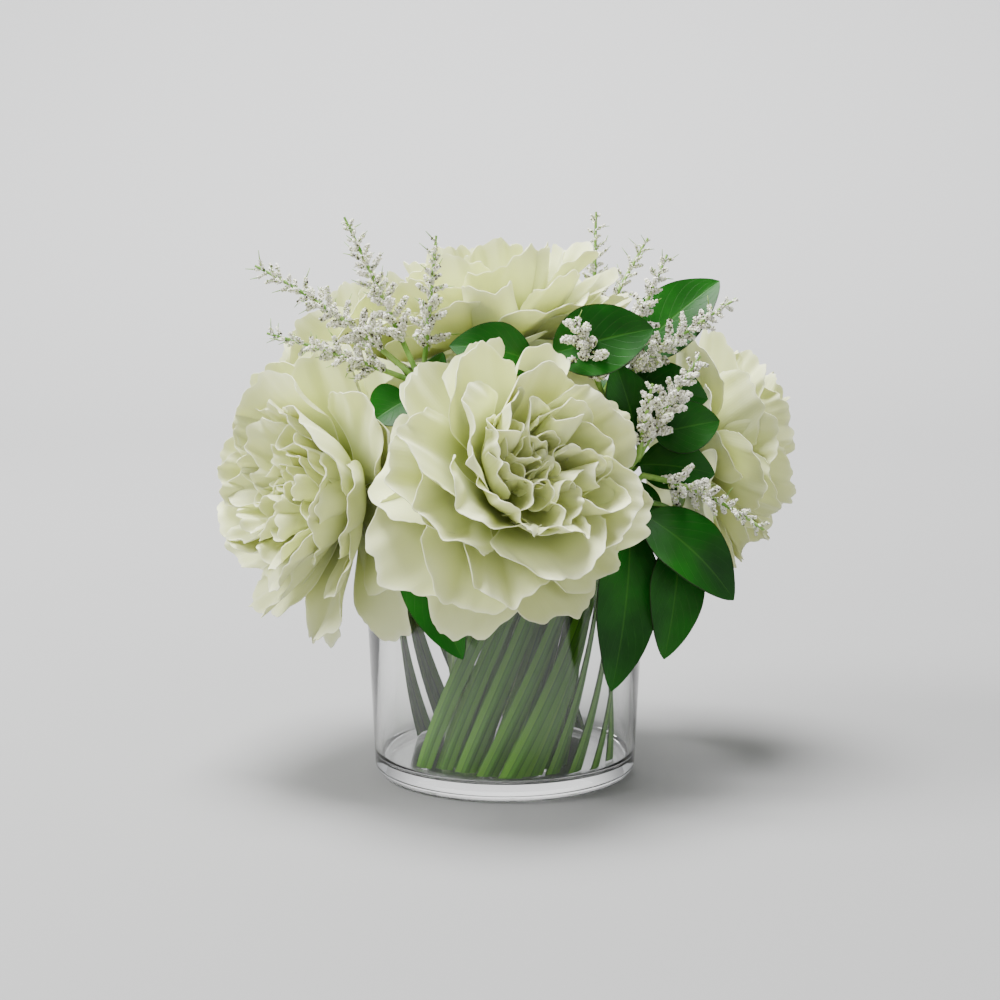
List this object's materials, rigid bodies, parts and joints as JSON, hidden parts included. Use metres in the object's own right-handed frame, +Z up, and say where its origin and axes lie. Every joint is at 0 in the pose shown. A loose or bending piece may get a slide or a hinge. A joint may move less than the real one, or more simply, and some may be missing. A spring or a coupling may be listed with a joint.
{
  "type": "floral table centerpiece",
  "caption": "Round table centerpiece of cream double peony heads, dark leaves, white spray flowers and folded green blades in a clear tapered glass vase.",
  "frame": {"origin": "centre of the vase's underside, on the surface it stands on", "axes": "+Z up; the front bloom looks towards -Y, slightly to +X and up; +X to the right seen from the front"},
  "size_m": [0.2759, 0.2385, 0.2671],
  "materials": {
    "glass": "clear polished glass",
    "petal": "matte cream petals with a green tint",
    "leaf": "satin dark green leaf with paler veins",
    "stem": "satin green stem",
    "spray": "matte white florets on green stalks",
    "blade": "satin folded green blade"
  },
  "bodies": {
    "root": {"blade_01": "blade", "blade_02": "blade", "blade_03": "blade", "blade_04": "blade", "blade_05": "blade", "blade_06": "blade", "blade_07": "blade", "blade_08": "blade", "blade_09": "blade", "blade_10": "blade", "blade_11": "blade", "blade_12": "blade", "blade_13": "blade", "blade_14": "blade", "blade_15": "blade", "blade_16": "blade", "blade_17": "blade", "blade_18": "blade", "blade_19": "blade", "blade_20": "blade", "blade_21": "blade", "blade_22": "blade", "bloom_back": "petal", "bloom_front": "petal", "bloom_left": "petal", "bloom_right": "petal", "bloom_top": "petal", "leaves_back_high": "leaf", "leaves_back_low": "leaf", "leaves_back_mid": "leaf", "leaves_left_high": "leaf", "leaves_left_low": "leaf", "leaves_right_high": "leaf", "leaves_right_low": "leaf", "leaves_right_mid": "leaf", "leaves_top_front": "leaf", "spray_back": "spray", "spray_left": "spray", "spray_right_high": "spray", "spray_right_low": "spray", "spray_right_mid": "spray", "stem_back": "stem", "stem_front": "stem", "stem_left": "stem", "stem_right": "stem", "stem_top": "stem", "vase": "glass"}
  },
  "joints": []
}
